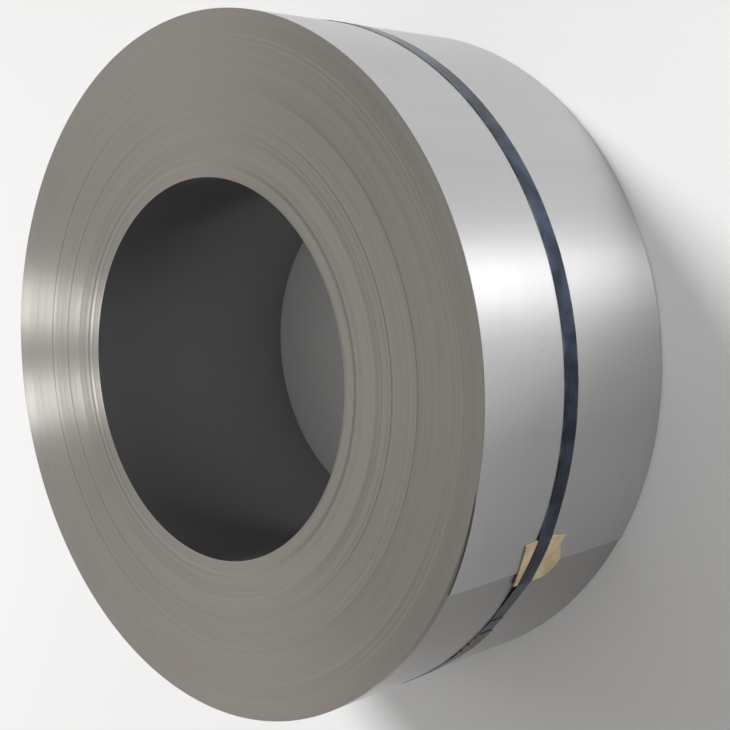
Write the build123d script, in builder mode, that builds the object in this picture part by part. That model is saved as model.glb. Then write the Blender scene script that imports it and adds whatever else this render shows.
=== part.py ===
from build123d import *
import os
from math import acos, atan2, cos, degrees, hypot, radians, sin

# A coil of cold-rolled steel strip, standing on one end, held by one steel strap.
# Millimetres. The bore axis is Z, and the end that the coil stands on is at zero height.
# Angles are degrees about the bore axis, from +X towards +Y. The strip ends at the tail angle.

# Coil of strip
coil_outer_diameter = 1120.0
bore_diameter = 610.0
strip_width = 430.0
strip_thickness = 2.0
tail_angle = -27.3
tail_run_out = 11.0
tail_run_out_angle = 17.0

# Groups of laps that stand back at both ends: start and width as shares of the wall, from bore to barrel
lap_step_depth = 1.4
lap_step_shares = ((0.085, 0.028), (0.36, 0.016), (0.545, 0.022))

# Strap around the coil, with a second layer where its ends lie over each other
strap_width = 32.0
strap_thickness = 0.9
strap_from_upper_end = 192.0
strap_overlap = 120.0
seat_gap = 0.2

# Pad under the strap: it lies on the last lap and reaches past the cut tail
pad_thickness = 2.0
pad_on_lap = 56.0
pad_past_tail = 25.0
pad_upper_side = 26.0
pad_lower_side = 54.0
# The pad is cut by hand and torn along one side: points of its plan, as shares of its width and height
pad_cut_shares = ((0.62, 0.00), (0.15, 0.00), (0.06, 0.55), (0.00, 0.96), (0.28, 1.00), (0.62, 0.99), (0.88, 0.93))
pad_torn_shares = ((0.88, 0.93), (0.82, 0.76), (0.92, 0.55), (0.99, 0.30), (0.90, 0.11), (0.62, 0.00))

# Seal that clips the strap's ends together
seal_length = 57.0
seal_wall = 1.0
seal_gap = 0.15
seal_past_pad = 10.0
seal_notch_radius = 3.0
seal_notch_pitch = 19.0

outer_radius = coil_outer_diameter / 2
bore_radius = bore_diameter / 2
strap_height = strip_width - strap_from_upper_end


def ray(angle, distance):
    """Point at a distance from the bore axis, in the plane across the coil."""
    return Vector(distance * cos(radians(angle)), distance * sin(radians(angle)))


def direction(point, centre):
    """Angle at which a point lies as seen from a centre."""
    return degrees(atan2(point.Y - centre.Y, point.X - centre.X))


def touch(point, centre, radius):
    """Angle between a point outside a circle and where its tangent touches the circle."""
    return degrees(acos(radius / hypot(point.X - centre.X, point.Y - centre.Y)))


# The barrel grows by one strip thickness in a turn: two half circles, a quarter thickness off the axis.
quarter = strip_thickness / 4
last_lap_centre = ray(tail_angle, quarter)
last_lap_radius = outer_radius - quarter
lap_under_centre = ray(tail_angle, -quarter)
lap_under_radius = outer_radius - strip_thickness + quarter

# The edge of the last lap sinks away from the upper end towards the tail.
run_out_from = ray(tail_angle + tail_run_out_angle, outer_radius)
tail_corner = ray(tail_angle, outer_radius)
run_out_slope = tail_corner - run_out_from - Vector(0, 0, tail_run_out)
run_out_plane = Plane(
    origin=run_out_from + Vector(0, 0, strip_width),
    x_dir=run_out_slope,
    z_dir=run_out_slope.cross(ray(tail_angle + tail_run_out_angle / 2, outer_radius)),
)

with BuildPart() as run_out_cut:
    with BuildSketch(Plane.XY.offset(strip_width)):
        with BuildLine():
            inside = CenterArc(last_lap_centre, last_lap_radius - strip_thickness, tail_angle, tail_run_out_angle)
            outside = CenterArc(last_lap_centre, last_lap_radius + strip_thickness, tail_angle, tail_run_out_angle)
            Line(inside @ 0, outside @ 0)
            Line(inside @ 1, outside @ 1)
        make_face()
    extrude(amount=tail_run_out, both=True)
    split(bisect_by=run_out_plane, keep=Keep.TOP)

with BuildPart() as coil:
    with BuildSketch():
        with BuildLine():
            CenterArc(lap_under_centre, lap_under_radius, tail_angle, -180)
            CenterArc(last_lap_centre, last_lap_radius, tail_angle + 180, -180)
            Line(tail_corner, ray(tail_angle, outer_radius - strip_thickness))
        make_face()
        Circle(bore_radius, mode=Mode.SUBTRACT)
    extrude(amount=strip_width)
    with BuildSketch(Plane.XZ):
        wall = outer_radius - strip_thickness - bore_radius
        for start_share, width_share in lap_step_shares:
            middle = bore_radius + wall * (start_share + width_share / 2)
            with Locations((middle, 0), (middle, strip_width)):
                Rectangle(wall * width_share, 2 * lap_step_depth)
    revolve(axis=Axis.Z, mode=Mode.SUBTRACT)
    add(run_out_cut.part, mode=Mode.SUBTRACT)

# The pad lies along the last lap and runs straight on past its cut end.
pad_seat_radius = last_lap_radius + seat_gap
pad_lap_angle = degrees(pad_on_lap / last_lap_radius)
pad_run = ray(tail_angle - 90, pad_past_tail)
pad_width = pad_upper_side + strap_width + pad_lower_side
pad_height = pad_on_lap + pad_past_tail
pad_top = strap_height + strap_width / 2 + pad_upper_side
pad_plane = Plane(origin=tail_corner + Vector(0, 0, pad_top), x_dir=(0, 0, -1), z_dir=tail_corner)


def pad_points(shares):
    """Points of the pad's plan: along the bore axis from its upper side, and around the barrel from the tail."""
    return [(pad_width * x_share, pad_height * y_share - pad_past_tail) for x_share, y_share in shares]


with BuildPart() as tail_pad:
    with BuildSketch(Plane.XY.offset(pad_top - pad_width)):
        with BuildLine():
            under = CenterArc(last_lap_centre, pad_seat_radius, tail_angle, pad_lap_angle)
            over = CenterArc(last_lap_centre, pad_seat_radius + pad_thickness, tail_angle, pad_lap_angle)
            Line(under @ 1, over @ 1)
            Line(under @ 0, under @ 0 + pad_run)
            Line(over @ 0, over @ 0 + pad_run)
            Line(under @ 0 + pad_run, over @ 0 + pad_run)
        make_face()
    extrude(amount=pad_width)
    with BuildSketch(pad_plane):
        with BuildLine():
            Polyline(*pad_points(pad_cut_shares))
            Spline(*pad_points(pad_torn_shares))
        make_face()
    extrude(amount=pad_height, both=True, mode=Mode.INTERSECT)


def pad_corners(lift):
    """Where a strap at a lift bends: over the pad's edge on the lap, at the tail and over its edge past the tail."""
    radius = pad_seat_radius + pad_thickness + lift
    edge_on_lap = last_lap_centre + ray(tail_angle + pad_lap_angle, radius)
    over_tail = last_lap_centre + ray(tail_angle, radius)
    return radius, edge_on_lap, over_tail, over_tail + pad_run


def touch_past_pad(lift):
    """Angle at which the strap meets the steel again past the pad."""
    edge = pad_corners(lift)[3]
    return direction(edge, lap_under_centre) - touch(edge, lap_under_centre, lap_under_radius + lift)


def strap_path(lift):
    """Closed path of the strap at a lift above the steel: around the coil and over the pad."""
    radius, edge_on_lap, over_tail, edge_past_tail = pad_corners(lift)
    lift_off = direction(edge_on_lap, last_lap_centre) + touch(edge_on_lap, last_lap_centre, last_lap_radius + lift)
    landing = touch_past_pad(lift)
    first_half = CenterArc(lap_under_centre, lap_under_radius + lift, landing, tail_angle - 180 - landing)
    second_half = CenterArc(last_lap_centre, last_lap_radius + lift, tail_angle + 180, lift_off - tail_angle - 180)
    Line(second_half @ 1, edge_on_lap)
    CenterArc(last_lap_centre, radius, tail_angle + pad_lap_angle, -pad_lap_angle)
    Line(over_tail, edge_past_tail)
    Line(edge_past_tail, first_half @ 0)


strap_top = seat_gap + strap_thickness
overlap_angle = degrees(strap_overlap / lap_under_radius)
overlap_start = touch_past_pad(strap_top) - degrees(seal_past_pad / lap_under_radius)

with BuildPart() as strap:
    with BuildSketch(Plane.XY.offset(strap_height)):
        with BuildLine():
            strap_path(strap_top)
        make_face()
        with BuildLine():
            strap_path(seat_gap)
        make_face(mode=Mode.SUBTRACT)
        with BuildLine():
            first = CenterArc(lap_under_centre, lap_under_radius + strap_top, overlap_start, -overlap_angle)
            second = CenterArc(lap_under_centre, lap_under_radius + strap_top + strap_thickness, overlap_start,
                               -overlap_angle)
            Line(first @ 0, second @ 0)
            Line(first @ 1, second @ 1)
        make_face()
    extrude(amount=strap_width / 2, both=True)

# The seal is a bent plate: a roof over both layers of strap and two sides along their edges.
seal_angle = degrees(seal_length / lap_under_radius)
seal_middle = overlap_start - overlap_angle / 2
seal_inside = strap_width + 2 * seal_gap
seal_foot = lap_under_radius + seat_gap
seal_roof = lap_under_radius + strap_top + strap_thickness + seal_gap
seal_rise = seal_roof + seal_wall - seal_foot
seal_centre = lap_under_centre + Vector(0, 0, strap_height)
seal_spoke = ray(seal_middle - seal_angle / 2, outer_radius)

with BuildPart() as strap_seal:
    with BuildSketch(Plane(origin=seal_centre, x_dir=seal_spoke, z_dir=seal_spoke.cross(Vector(0, 0, 1)))):
        with Locations((seal_foot, 0)):
            Rectangle(seal_rise, seal_inside + 2 * seal_wall, align=(Align.MIN, Align.CENTER))
            Rectangle(seal_roof - seal_foot, seal_inside, align=(Align.MIN, Align.CENTER), mode=Mode.SUBTRACT)
    revolve(axis=Axis(seal_centre, (0, 0, 1)), revolution_arc=seal_angle)
    for step in (-1, 0, 1):
        notch_angle = seal_middle + step * degrees(seal_notch_pitch / lap_under_radius)
        notch_foot = seal_centre + ray(notch_angle, seal_foot)
        with BuildSketch(Plane(origin=notch_foot, x_dir=(0, 0, 1), z_dir=ray(notch_angle, outer_radius))):
            with Locations((seal_inside / 2 + seal_wall, 0), (-seal_inside / 2 - seal_wall, 0)):
                Circle(seal_notch_radius)
        extrude(amount=seal_rise, both=True, mode=Mode.SUBTRACT)

coil.part.label = "coil"
strap.part.label = "strap"
strap_seal.part.label = "strap_seal"
tail_pad.part.label = "tail_pad"

os.makedirs("parts", exist_ok=True)
export_step(coil.part, "parts/coil.step")
export_step(strap.part, "parts/strap.step")
export_step(strap_seal.part, "parts/strap_seal.step")
export_step(tail_pad.part, "parts/tail_pad.step")
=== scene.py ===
# %% [markdown]
# # A strapped coil of steel strip
# The real thing is one long strip of cold-rolled steel, wound tight on a mandrel and held by one steel strap.
# The engineering model is loaded first, so that every piece made here has its place and size from it.

import random
from math import cos, pi, radians, sin

import bmesh
import bpy
from mathutils import Matrix, Vector


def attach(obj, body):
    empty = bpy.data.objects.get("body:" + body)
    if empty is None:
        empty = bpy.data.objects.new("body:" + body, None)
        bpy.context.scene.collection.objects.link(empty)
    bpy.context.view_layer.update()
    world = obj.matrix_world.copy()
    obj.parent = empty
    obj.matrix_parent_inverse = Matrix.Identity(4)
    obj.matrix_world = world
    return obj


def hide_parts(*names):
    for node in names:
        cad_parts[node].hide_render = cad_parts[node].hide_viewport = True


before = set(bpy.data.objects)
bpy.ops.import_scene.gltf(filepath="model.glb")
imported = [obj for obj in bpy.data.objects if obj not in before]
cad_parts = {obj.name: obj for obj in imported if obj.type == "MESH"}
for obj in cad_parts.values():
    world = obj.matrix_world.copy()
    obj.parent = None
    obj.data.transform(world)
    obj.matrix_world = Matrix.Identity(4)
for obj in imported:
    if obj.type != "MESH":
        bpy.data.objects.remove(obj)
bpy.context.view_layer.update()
bpy.context.scene.view_settings.view_transform = "Standard"

# %% [markdown]
# The sizes below are the ones the engineering model was drawn with, in metres.
# The coil stands on one end: its bore runs up along Z, and angles turn from +X towards +Y.
# Every lap of strip shows as a ring on the ends, and the last lap stops at the tail with a step of one thickness.

# %% Sizes of the coil
coil_radius = 0.560
bore_radius = 0.305
strip_width = 0.430
strip_thickness = 0.002
tail_angle = radians(-27.3)
run_out_depth = 0.011
run_out_angle = radians(17)
under_last_lap = coil_radius - strip_thickness
wall = under_last_lap - bore_radius
lap_count = round(wall / strip_thickness)
lap_pitch = wall / lap_count
print("laps in the wall", lap_count, "pitch in mm", round(lap_pitch * 1000, 3))

# %% [markdown]
# Materials come before meshes here, because each piece takes its finish as soon as it is made.
# Patterns are sums of simple signals, so a small class lets them be written as plain arithmetic:
# each sum or product adds one Math node to the material.

# %% Arithmetic on shader values


class Signal:
    """A value that flows through a material: arithmetic on it adds Math nodes."""

    def __init__(self, tree, socket):
        self.tree = tree
        self.socket = socket

    def math(self, operation, *others):
        node = self.tree.nodes.new("ShaderNodeMath")
        node.operation = operation
        for socket, value in zip(node.inputs, (self, *others)):
            feed(self.tree, socket, value)
        return Signal(self.tree, node.outputs[0])

    def __add__(self, other):
        return self.math("ADD", other)

    def __sub__(self, other):
        return self.math("SUBTRACT", other)

    def __rsub__(self, other):
        return (self * -1.0).math("ADD", other)

    def __mul__(self, other):
        return self.math("MULTIPLY", other)

    __radd__ = __add__
    __rmul__ = __mul__


def feed(tree, socket, value):
    """A signal is linked to a socket, and anything else becomes the socket's own value."""
    if isinstance(value, Signal):
        tree.links.new(value.socket, socket)
    elif isinstance(value, tuple) and len(value) == 3 and socket.type == "RGBA":
        socket.default_value = (*value, 1.0)
    else:
        socket.default_value = value


print("signals ready")

# %% [markdown]
# A finish is a tree of nodes. One method adds a node of any kind, sets it up and feeds its sockets.
# A few helpers on top of it name what the finishes below use again and again: a blend, a step, a grain and a bump.

# %% Nodes of a finish


class Finish:
    """A node tree, of a material or of the world, with one way to add any node to it."""

    def __init__(self, owner):
        owner.use_nodes = True
        self.owner = owner
        self.tree = owner.node_tree
        self.tree.nodes.clear()

    def node(self, kind, settings=None, sockets=None, output=0):
        node = self.tree.nodes.new(kind)
        for name, value in (settings or {}).items():
            if name == "stops":
                self.lay_stops(node.color_ramp.elements, value)
            else:
                setattr(node, name, value)
        for name, value in (sockets or {}).items():
            feed(self.tree, node.inputs[name], value)
        return Signal(self.tree, node.outputs[output])

    @staticmethod
    def lay_stops(elements, stops):
        """A ramp's colours, each at its place between 0 and 1."""
        for count, (where, colour) in enumerate(stops):
            stop = elements[count] if count < len(elements) else elements.new(where)
            stop.position = where
            stop.color = (*colour, 1.0)

    def blend(self, share, first, second):
        """A colour between two, by a share: sockets 6 and 7 of a Mix node are its colours."""
        return self.node("ShaderNodeMix", {"data_type": "RGBA"}, {0: share, 6: first, 7: second}, 2)

    def step(self, value, low, high):
        """0 below low, 1 above high, and a smooth rise between them."""
        return self.node("ShaderNodeMapRange", {"interpolation_type": "SMOOTHSTEP"},
                         {"Value": value, "From Min": low, "From Max": high})

    def grain(self, x, y, z, detail):
        """Cloudy noise over three signals, between 0 and 1."""
        point = self.node("ShaderNodeCombineXYZ", None, {0: x, 1: y, 2: z})
        return self.node("ShaderNodeTexNoise", None, {"Vector": point, "Scale": 1.0, "Detail": detail})

    def bump(self, relief):
        """The surface's direction, tilted by a relief in metres."""
        return self.node("ShaderNodeBump", None, {"Strength": 1.0, "Distance": 1.0, "Height": relief})

    def parts(self, vector):
        """The three parts of a vector, each as a signal."""
        split = self.node("ShaderNodeSeparateXYZ", None, {0: vector})
        return [Signal(self.tree, part) for part in split.socket.node.outputs]

    def round_the_bore(self):
        """Signals of a point: x, y, height, distance from the bore axis, and angle round it."""
        x, y, height = self.parts(self.node("ShaderNodeTexCoord", output="Object"))
        return x, y, height, (x * x + y * y).math("SQRT"), y.math("ARCTAN2", x)

    def surface(self, shader, kind="ShaderNodeOutputMaterial"):
        """Send a shader to the output, and hand back the material or world."""
        output = self.tree.nodes.new(kind)
        feed(self.tree, output.inputs["Surface"], shader)
        return self.owner


print("finishes ready")

# %% [markdown]
# Cold-rolled strip is bare grey steel. Rolling leaves hair-fine lines along the strip, so they run round the coil,
# on its barrel and over the lap edges on its ends. They are too fine to model, so noise draws them: it changes fast
# across the strip and slowly along it. Cut edges are duller than the barrel. The lap in the bore is painted darker as
# shade inside the bore, and the lap below the tail is painted darker as shade under the tail, most of all as painted
# shadow where the last lap's edge has slipped. The surface's own direction tells an end from the barrel.

# %% Bare steel of the strip


def bare_strip_steel():
    finish = Finish(bpy.data.materials.new("bare_strip_steel"))
    x, y, height, distance, angle = finish.round_the_bore()
    rolled = finish.grain(distance * 900.0, height * 420.0, angle * 2.4, detail=3.0)
    laps = finish.grain(distance * 330.0, angle * 0.6, 0.0, detail=4.0)
    sways = finish.grain(x * 9.0, y * 9.0, height * 0.7, detail=2.0)
    stains = finish.grain(x * 5.0, y * 5.0, height * 9.0, detail=5.0)
    facing_up = finish.parts(finish.node("ShaderNodeNewGeometry", output="Normal"))[2]
    on_end = finish.step(facing_up.math("ABSOLUTE"), 0.5, 0.8)
    end_tone = finish.blend(laps * 0.7 + rolled * 0.3, (0.315, 0.30, 0.272), (0.435, 0.418, 0.388))
    barrel_tone = finish.blend(sways, (0.54, 0.54, 0.55), (0.66, 0.66, 0.67))
    # Painted shade: the lap in the bore is darkened, as the shade inside the bore.
    tone = finish.blend(finish.step(distance, *bore_shade_band), (0.42, 0.42, 0.43), barrel_tone)
    tone = finish.blend(on_end, tone, end_tone)
    tone = finish.blend(finish.step(stains, 0.56, 0.80) * 0.14, tone, (0.30, 0.27, 0.235))
    # Painted shade: the lap below the tail is darkened, and darker still as painted shadow where the last lap's edge
    # has slipped.
    shade_under_tail = (1.0 - finish.step(distance, *lap_below_tail)) * finish.step(distance, *outer_laps)
    slipped_edge_shadow = finish.step(height, *slipped_edge) * 0.33
    tone = finish.blend(shade_under_tail * (1.0 - on_end) * (0.34 + slipped_edge_shadow), tone, (0.16, 0.14, 0.10))
    scuff = finish.step(1.0 - ((angle - scuff_angle) * 160.0).math("POWER", 2.0)
                        - ((height - scuff_height) * 70.0).math("POWER", 2.0), 0.0, 0.8)
    tone = finish.blend(scuff * (1.0 - on_end) * finish.step(stains, 0.42, 0.56) * 0.4, tone, (0.30, 0.29, 0.29))
    rough = 0.26 + rolled * 0.05 + laps * on_end * 0.05 + stains * 0.04 - on_end * 0.04
    relief = rolled * 0.000006 + sways * 0.0009 * (1.0 - on_end)
    return finish.surface(finish.node("ShaderNodeBsdfPrincipled", None, {
        "Base Color": tone, "Metallic": 1.0, "Roughness": rough, "Anisotropic": 0.8,
        "Anisotropic Rotation": 0.25, "Normal": finish.bump(relief)}))


bore_shade_band = (0.31, 0.32)
outer_laps = (0.50, 0.51)
lap_below_tail = (0.55801, 0.55828)
slipped_edge = (0.4165, 0.4185)
scuff_angle = radians(7.6)
scuff_height = 0.302
strip_steel = bare_strip_steel()
print("material", strip_steel.name)

# %% [markdown]
# The strap is blued steel: heat gives it a thin, dark blue skin that still shines.
# Its edges are rubbed brighter here and there, where it was drawn tight.
# A picture of blued steel could be laid on it, but two layers of noise give the same blotches with no seam.

# %% Blued steel of the strap


def blued_steel():
    finish = Finish(bpy.data.materials.new("blued_strap_steel"))
    x, y, height, distance, angle = finish.round_the_bore()
    drawn = finish.grain(distance * 30.0, height * 700.0, angle * 4.0, detail=2.0)
    blotches = finish.grain(x * 30.0, y * 30.0, height * 30.0, detail=3.0)
    near_edge = finish.step((height - strap_height).math("ABSOLUTE"), 0.0142, 0.0158)
    rubbed = near_edge * finish.step(blotches, 0.40, 0.62)
    skin = finish.blend(finish.step(blotches, 0.30, 0.72), (0.032, 0.041, 0.060), (0.075, 0.098, 0.150))
    return finish.surface(finish.node("ShaderNodeBsdfPrincipled", None, {
        "Base Color": finish.blend(rubbed * 0.5, skin, (0.45, 0.46, 0.48)), "Metallic": 1.0,
        "Roughness": 0.20 + drawn * 0.16}))


strap_height = 0.238
strap_steel = blued_steel()
print("material", strap_steel.name)

# %% [markdown]
# The seal is a small clip, crimped over both layers of the strap. It is plain dull steel, browner and rougher than
# the strap, and its edges are a little brighter where the crimping tool pressed them. Its smears run no special way,
# so one noise that is equal in all directions is enough.

# %% Dull steel of the seal


def dull_seal_steel():
    finish = Finish(bpy.data.materials.new("dull_seal_steel"))
    x, y, height, *_ = finish.round_the_bore()
    smears = finish.grain(x * 60.0, y * 60.0, height * 60.0, detail=4.0)
    pressed = finish.step((height - strap_height).math("ABSOLUTE"), 0.0125, 0.0165)
    tone = finish.blend(smears, (0.13, 0.112, 0.095), (0.21, 0.185, 0.16))
    tone = finish.blend(pressed * 0.6, tone, (0.38, 0.35, 0.31))
    return finish.surface(finish.node("ShaderNodeBsdfPrincipled", None, {
        "Base Color": tone, "Metallic": 1.0, "Roughness": 0.34 + smears * 0.2}))


seal_steel = dull_seal_steel()
print("material", seal_steel.name)

# %% [markdown]
# The pad is a torn piece of brown packing board. Its colour is a warm tan, with a fibrous grain and a few worn patches.
# Fibres could be made as hair, but at this size a stretched noise with a small bump reads the same.

# %% Board of the tail pad


def packing_board():
    finish = Finish(bpy.data.materials.new("packing_board"))
    x, y, height, distance, angle = finish.round_the_bore()
    fibres = finish.grain(angle * 500.0, height * 110.0, distance * 300.0, detail=5.0)
    worn = finish.grain(x * 28.0, y * 28.0, height * 28.0, detail=4.0)
    tone = finish.blend(finish.step(worn, 0.35, 0.7), (0.36, 0.272, 0.168), (0.46, 0.365, 0.24))
    tone = finish.blend(finish.step(fibres, 0.55, 0.8) * 0.5, tone, (0.28, 0.205, 0.125))
    relief = fibres * 0.0004 + worn * 0.0012
    return finish.surface(finish.node("ShaderNodeBsdfPrincipled", None, {
        "Base Color": tone, "Roughness": 0.85, "Normal": finish.bump(relief)}))


pad_board = packing_board()
print("material", pad_board.name)

# %% [markdown]
# The wound laps are a turned ring with its bore. On the ends every lap edge lies a little higher or lower than the
# next and leans a little, which is what makes the fine rings shine. Neighbours lie much alike, so the levels are drawn
# group by group, always with the same seed. The first laps at the bore lie looser, and three groups stand back further.

# %% Levels of the lap edges


def lap_levels(seed, laps_in_step):
    """Depths below the end of the inner and outer corner of each lap, from the bore outwards."""
    chance = random.Random(seed)
    levels = []
    group_left, group_level, group_lean = 0, 0.0, 0.0
    for lap in range(0, lap_count, laps_in_step):
        if group_left <= 0:
            group_left = chance.choice(group_sizes)
            group_level = chance.choice(group_depths)
            group_lean = chance.uniform(-lean_limit, lean_limit)
        group_left -= laps_in_step
        share = lap / lap_count
        set_back = any(start <= share < start + width for start, width in step_shares) * step_depth
        play = loose_play if lap < loose_laps else tight_play
        lean = (group_lean + chance.uniform(-lean_limit, lean_limit)) * play
        middle = (group_level + least_depth + chance.uniform(0.0, lap_play)) * play + set_back
        levels.append((middle - lean, middle + lean))
    return levels


group_sizes = (2, 3, 5, 8, 12)
group_depths = (0.00001, 0.00002, 0.00004, 0.00007)
least_depth, lap_play, lean_limit = 0.00007, 0.00002, 0.00003
loose_laps, loose_play, tight_play = 14, 2.6, 0.8
step_depth = 0.0003
step_shares = ((0.085, 0.028), (0.36, 0.016), (0.545, 0.022))
upper_levels = lap_levels(seed=11, laps_in_step=1)
lower_levels = lap_levels(seed=29, laps_in_step=2)
print("lap edges drawn", len(upper_levels), len(lower_levels))

# %% [markdown]
# A true spiral of over a hundred turns would need far more faces and look the same, so the laps are rings here.
# One cut through the wall is drawn in the plane of X and Z: out along the upper lap edges, down the barrel,
# back along the lower ones and up the bore. A full spin about the bore axis then closes all the rings in one step.

# %% Spin the wound laps


def wound_laps(turn_steps):
    laps = bmesh.new()
    outline = []
    for end, levels, inwards in ((strip_width, upper_levels, -1), (0.0, lower_levels, 1)):
        pitch = wall / len(levels)
        corners = []
        for lap, (inner, outer) in enumerate(levels):
            corners.append((bore_radius + lap * pitch, end + inwards * inner))
            corners.append((bore_radius + (lap + 1) * pitch, end + inwards * outer))
        outline += corners if end else corners[::-1]
    points = [laps.verts.new((distance, 0.0, height)) for distance, height in outline]
    cut = [laps.edges.new((points[i - 1], points[i])) for i in range(len(points))]
    bmesh.ops.spin(laps, geom=points + cut, cent=(0, 0, 0), axis=(0, 0, 1), angle=2 * pi, steps=turn_steps,
                   use_merge=True)
    bmesh.ops.remove_doubles(laps, verts=laps.verts, dist=1e-7)
    bmesh.ops.recalc_face_normals(laps, faces=laps.faces)
    return laps


laps_mesh = wound_laps(turn_steps=240)
print("faces of the wound laps", len(laps_mesh.faces))

# %% [markdown]
# The last lap lies on the others and thins to nothing over one turn, which is how a wound spiral looks from outside.
# At the tail it stops with a clean cut, and there its upper edge has slipped down from the end.
# A thin upright strip is spun almost a full turn, and its corners are then moved to the spiral, each by its own angle.
# It bites a hair into the lap below, so that no light comes through.

# %% Wind the last lap


worn_edge = 0.0005
bite = 0.00005
open_gap = 0.0004


def spiral_radius(turned):
    """Radius of the barrel at an angle turned from the tail: two half circles, a quarter thickness off the axis."""
    quarter = strip_thickness / 4
    if turned < pi:
        return coil_radius - quarter + quarter * cos(turned)
    return coil_radius - 3 * quarter - quarter * cos(turned)


def wind_last_lap(turn_steps):
    lap = bmesh.new()
    start = Matrix.Rotation(tail_angle, 4, "Z")
    low, high = 0.0, strip_width
    sides = [start @ Vector((distance, 0.0, height)) for distance, height in (
        (under_last_lap, low), (coil_radius - worn_edge, low), (coil_radius, low + worn_edge),
        (coil_radius, high - worn_edge), (coil_radius - worn_edge, high), (under_last_lap, high))]
    cut_end = lap.faces.new([lap.verts.new(corner) for corner in sides])
    bmesh.ops.spin(lap, geom=[cut_end, *cut_end.edges, *cut_end.verts], cent=(0, 0, 0), axis=(0, 0, 1),
                   angle=2 * pi - open_gap, steps=turn_steps)
    inside = under_last_lap - bite
    for corner in lap.verts:
        turned = (-Vector((1, 0)).angle_signed(corner.co.xy) - tail_angle) % (2 * pi)
        turned = 0.0 if turned > 2 * pi - open_gap / 4 else turned
        share = (corner.co.xy.length - under_last_lap) / strip_thickness
        corner.co.xy = corner.co.xy.normalized() * (inside + share * (spiral_radius(turned) - inside))
        if corner.co.z > strip_width / 2 and turned < run_out_angle:
            corner.co.z -= run_out_depth * (1 - turned / run_out_angle)
    bmesh.ops.recalc_face_normals(lap, faces=lap.faces)
    return lap


last_lap_mesh = wind_last_lap(turn_steps=720)
print("faces of the last lap", len(last_lap_mesh.faces))

# %% [markdown]
# The spiral and the ring are one piece of strip, so they become one mesh. Each was made apart,
# because a spin is slow in a mesh that already holds many faces.

# %% Lay the last lap on the others
joining = bpy.data.meshes.new("last_lap")
last_lap_mesh.to_mesh(joining)
last_lap_mesh.free()
laps_mesh.from_mesh(joining)
bpy.data.meshes.remove(joining)
print("faces of the coil", len(laps_mesh.faces))

# %% [markdown]
# The ring edges of the laps stay sharp while the surface is smooth all the way round,
# so each lap edge shines as one clean band. An edge runs round the coil when both of its ends are equally far
# from the axis and almost equally high, because the last lap's edge sinks a little on its way round.

# %% Place the coil


def place(mesh_in_making, name, finish, node):
    mesh = bpy.data.meshes.new(name)
    for face in mesh_in_making.faces:
        face.smooth = True
    for edge in mesh_in_making.edges:
        first, second = (corner.co for corner in edge.verts)
        rings = abs(first.xy.length - second.xy.length) < ring_play and abs(first.z - second.z) < run_out_play
        edge.smooth = not rings and edge.calc_face_angle(0.0) < crease_angle
    mesh_in_making.to_mesh(mesh)
    mesh_in_making.free()
    mesh.materials.append(finish)
    piece = bpy.data.objects.new(name, mesh)
    bpy.context.scene.collection.objects.link(piece)
    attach(piece, "root")
    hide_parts(node)
    return piece


ring_play = 0.00002
run_out_play = 0.002
crease_angle = radians(30)
coil = place(laps_mesh, "wound_coil", strip_steel, "coil")
print("coil triangles", sum(len(face.vertices) - 2 for face in coil.data.polygons))

# %% [markdown]
# The strap, its seal and the pad already have their true shape in the engineering model,
# so they keep it and only take their finish here.

# %% Finish the strap, the seal and the pad
for node, finish in (("strap", strap_steel), ("strap_seal", seal_steel), ("tail_pad", pad_board)):
    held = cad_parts[node]
    held.data.materials.clear()
    held.data.materials.append(finish)
    print(node, "takes", finish.name)

# %% [markdown]
# The stage is one plain pale floor. It is pale because of its own colour, so the metal mirrors the same floor that
# the camera sees, with the coil's shadow on it. That shadow is what makes one side of the barrel dark.

# %% Floor


def pale_floor():
    finish = Finish(bpy.data.materials.new("pale_floor"))
    return finish.surface(finish.node("ShaderNodeBsdfDiffuse", None, {"Color": (0.88, 0.88, 0.885)}))


floor_reach = 30.0
floor_gap = 0.001
floor_mesh = bmesh.new()
bmesh.ops.create_grid(floor_mesh, x_segments=1, y_segments=1, size=floor_reach,
                      matrix=Matrix.Translation((0, 0, -floor_gap)))
floor_sheet = bpy.data.meshes.new("floor")
floor_mesh.to_mesh(floor_sheet)
floor_mesh.free()
floor_sheet.materials.append(pale_floor())
floor = bpy.data.objects.new("floor", floor_sheet)
bpy.context.scene.collection.objects.link(floor)
print("floor", floor.name)

# %% [markdown]
# Bare metal has hardly a tone of its own: it shows what lies around it. A plain dome gives it something soft to mirror.
# It is pale at the horizon, lighter behind the coil and dimmer in front, as in a room with windows on one side.
# A picture of a room could do this too, but two ramps of tone, from the horizon up, stay plain and easy to change.

# %% Studio dome


def studio_dome():
    finish = Finish(bpy.context.scene.world or bpy.data.worlds.new("studio_dome"))
    bpy.context.scene.world = finish.owner
    forward, _, rise = finish.parts(finish.node("ShaderNodeTexCoord", output="Generated"))
    behind, in_front = (finish.node("ShaderNodeValToRGB", {"stops": stops}, {"Fac": rise})
                        for stops in (dome_behind, dome_in_front))
    tone = finish.blend(finish.step(forward, -0.5, 0.4), behind, in_front)
    return finish.surface(finish.node("ShaderNodeBackground", None, {"Color": tone, "Strength": 1.0}),
                          "ShaderNodeOutputWorld")


dome_behind = ((0.0, (0.86, 0.86, 0.86)), (0.25, (0.84, 0.83, 0.82)), (0.54, (0.84, 0.82, 0.79)),
               (0.73, (0.31, 0.30, 0.285)), (1.0, (0.52, 0.51, 0.49)))
dome_in_front = ((0.0, (0.86, 0.86, 0.86)), (0.25, (0.36, 0.355, 0.35)), (0.5, (0.13, 0.13, 0.125)),
                 (0.8, (0.17, 0.166, 0.16)), (1.0, (0.52, 0.51, 0.49)))
print("dome", studio_dome().name)

# %% [markdown]
# One broad key light comes from behind, and the shadow it casts on the floor is mirrored by the barrel. It is kept out
# of reflections, because it would draw a glare across the end. Two strip lights behind the coil draw the streaks on
# the lap edges. One low strip light in front draws the bright band along the barrel and lights the pad.

# %% Lamps


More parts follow.
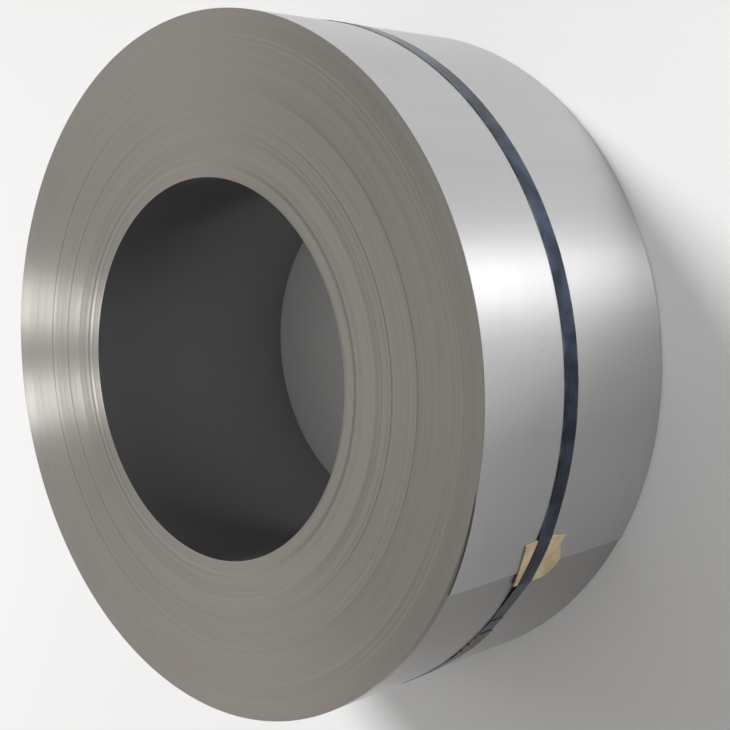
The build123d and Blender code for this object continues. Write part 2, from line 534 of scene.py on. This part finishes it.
def heading_and_rise(heading, rise):
    """Unit vector at a heading round the coil and a rise above the floor, in degrees."""
    level = cos(radians(rise))
    return Vector((level * cos(radians(heading)), level * sin(radians(heading)), sin(radians(rise))))


def hang(name, kind, lamp_at, aim_at, power):
    """A lamp at one place, turned to another."""
    lamp = bpy.data.lights.new(name, kind)
    lamp.energy = power
    hung = bpy.data.objects.new(name, lamp)
    hung.location = lamp_at
    hung.rotation_euler = (Vector(aim_at) - Vector(lamp_at)).to_track_quat("-Z", "Y").to_euler()
    bpy.context.scene.collection.objects.link(hung)
    return hung


def hang_strip(name, lamp_at, aim_at, power, width, tall):
    """A lamp that shines from a rectangle."""
    strip = hang(name, "AREA", lamp_at, aim_at, power)
    strip.data.shape = "RECTANGLE"
    strip.data.size = width
    strip.data.size_y = tall
    return strip


key_lamp = hang("key_lamp", "SUN", heading_and_rise(138, 29) * 4.0, aim_at=(0.0, 0.0, 0.0), power=3.5)
key_lamp.data.angle = radians(20)
key_lamp.visible_glossy = False
for count, heading in enumerate((182.5, 191.0)):
    hang_strip(f"end_strip_{count}", heading_and_rise(heading, 20) * 3.2, aim_at=(0.0, 0.0, strip_width),
               power=4.4, width=0.22, tall=1.2)
barrel_strip = hang_strip("barrel_strip", heading_and_rise(23.5, 3.5) * 3.0, aim_at=(0.54, 0.16, 0.24),
                          power=2.9, width=0.62, tall=0.25)
barrel_strip.data.spread = radians(40)

# %% [markdown]
# The camera stands where the photograph was taken from: in front of the upper end, a little to one side.
# The photograph shows the coil with its bore level, so the camera is turned until the picture's top is along +Y.

# %% Camera
camera_place = Vector((1.5677, 0.2811, 1.6974))
camera_aim = Vector((0.3454, 0.0445, 0.4300))
picture_top = Vector((0.0, 1.0, 0.0))
camera_roll = 0.0107
picture_lens = 62.71


def stand_camera():
    back = (camera_place - camera_aim).normalized()
    right = picture_top.cross(back).normalized()
    turn = Matrix((right, back.cross(right), back)).transposed() @ Matrix.Rotation(camera_roll, 3, "Z")
    camera = bpy.data.objects.new("camera", bpy.data.cameras.new("camera"))
    camera.data.lens = picture_lens
    camera.matrix_world = Matrix.Translation(camera_place) @ turn.to_4x4()
    bpy.context.scene.collection.objects.link(camera)
    bpy.context.scene.camera = camera
    return camera


camera = stand_camera()
print("camera at", [round(c, 3) for c in camera.location], "lens", camera.data.lens)
